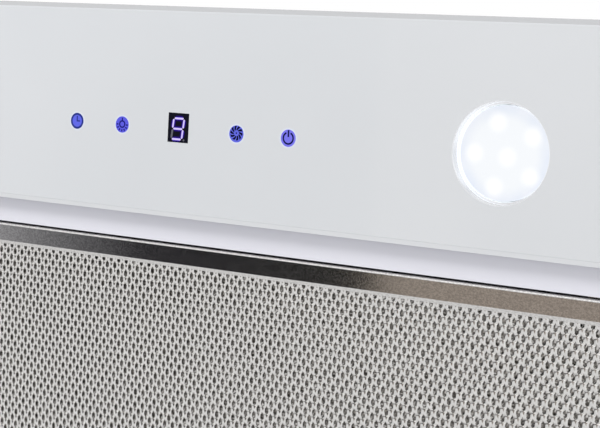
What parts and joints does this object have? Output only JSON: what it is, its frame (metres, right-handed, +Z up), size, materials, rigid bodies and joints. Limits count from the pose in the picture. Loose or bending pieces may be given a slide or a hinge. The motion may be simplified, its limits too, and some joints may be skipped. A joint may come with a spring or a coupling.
{
  "type": "under cabinet range hood",
  "caption": "Wedge-shaped under cabinet range hood with a lit white glass touch panel, round lamps, a hinged mesh filter and a top duct collar.",
  "frame": {"origin": "in the top face that lies against the cabinet, in the middle of the hood's width and depth", "axes": "+Z up, -Y towards the cook, +Y towards the wall, +X to the cook's right"},
  "size_m": [0.598, 0.2996, 0.2201],
  "materials": {
    "paint": "satin powder coat, lavender white",
    "panel_glass": "gloss, back-painted white",
    "foam": "matte closed-cell foam",
    "lamp_metal": "satin",
    "lamp_lens": "satin, frosted",
    "circuit_board": "satin green",
    "display": "gloss black",
    "key_light": "satin, lit blue violet",
    "black_plastic": "matte",
    "filter_steel": "brushed along its length",
    "filter_mesh": "satin",
    "grey_plastic": "matte",
    "bright_steel": "polished",
    "galvanised": "satin, galvanised",
    "screw_steel": "satin, zinc plated",
    "motor_metal": "satin",
    "damper_metal": "satin",
    "cable_sheath": "matte"
  },
  "bodies": {
    "hood": {"top_panel": "paint", "back_panel": "paint", "side_panel_left": "paint", "side_panel_right": "paint", "front_lip": "paint", "bottom_tray": "paint", "glass_panel": "panel_glass", "glass_seal_front": "foam", "glass_seal_rear": "foam", "lamp_cup_left": "lamp_metal", "lamp_cup_right": "lamp_metal", "lamp_lens_left": "lamp_lens", "lamp_lens_right": "lamp_lens", "led_board_left": "circuit_board", "led_board_right": "circuit_board", "touch_board": "circuit_board", "main_board": "circuit_board", "display_module": "display", "key_guide_timer": "key_light", "key_guide_light": "key_light", "key_guide_fan": "key_light", "key_guide_power": "key_light", "control_cover": "black_plastic", "terminal_block": "black_plastic", "capacitor": "black_plastic", "control_box": "grey_plastic", "control_box_lid": "grey_plastic", "cable_gland": "grey_plastic", "damper_pin": "bright_steel", "scroll_housing": "galvanised", "scroll_cover": "galvanised", "outlet_box": "galvanised", "outlet_collar": "galvanised", "motor_screw_1": "screw_steel", "motor_screw_2": "screw_steel", "motor_screw_3": "screw_steel", "collar_screw_1": "screw_steel", "collar_screw_2": "screw_steel", "collar_screw_3": "screw_steel", "collar_screw_4": "screw_steel", "lid_screw_1": "screw_steel", "lid_screw_2": "screw_steel", "motor_body": "motor_metal", "controls_cable": "cable_sheath", "lamp_cable_right": "cable_sheath", "lamp_cable_left": "cable_sheath", "motor_cable": "cable_sheath"},
    "filter": {"filter_frame": "filter_steel", "filter_mesh_outer": "filter_mesh", "filter_mesh_core": "filter_mesh", "filter_mesh_inner": "filter_mesh", "filter_tab_left": "filter_steel", "filter_tab_right": "filter_steel", "latch_housing": "grey_plastic", "latch_spring": "bright_steel"},
    "latch": {"latch_slider": "grey_plastic"},
    "fan": {"impeller": "black_plastic", "motor_shaft": "bright_steel"},
    "damper_rear": {"damper_flap_rear": "damper_metal"},
    "damper_front": {"damper_flap_front": "damper_metal"}
  },
  "joints": [
    {"name": "filter_hinge", "type": "hinge", "parent": "hood", "child": "filter", "pos_m": [0, -0.0458, -0.07633], "axis": [-1, 0, 0], "range_deg": [0, 70]},
    {"name": "latch_slide", "type": "slide", "parent": "filter", "child": "latch", "axis": [0, -0.9272, 0.3746], "range_m": [0, 0.005], "stiffness_N_per_m": 250, "springref_m": -0.004, "deforming": ["latch_spring"]},
    {"name": "fan_spin", "type": "hinge", "parent": "hood", "child": "fan", "pos_m": [-0.145, 0.055, -0.04], "axis": [0, 0, 1], "continuous": true},
    {"name": "damper_rear_hinge", "type": "hinge", "parent": "hood", "child": "damper_rear", "pos_m": [0, 0.079, 0.006], "axis": [1, 0, 0], "range_deg": [0, 75]},
    {"name": "damper_front_hinge", "type": "hinge", "parent": "hood", "child": "damper_front", "pos_m": [0, 0.079, 0.006], "axis": [-1, 0, 0], "range_deg": [0, 75]}
  ]
}
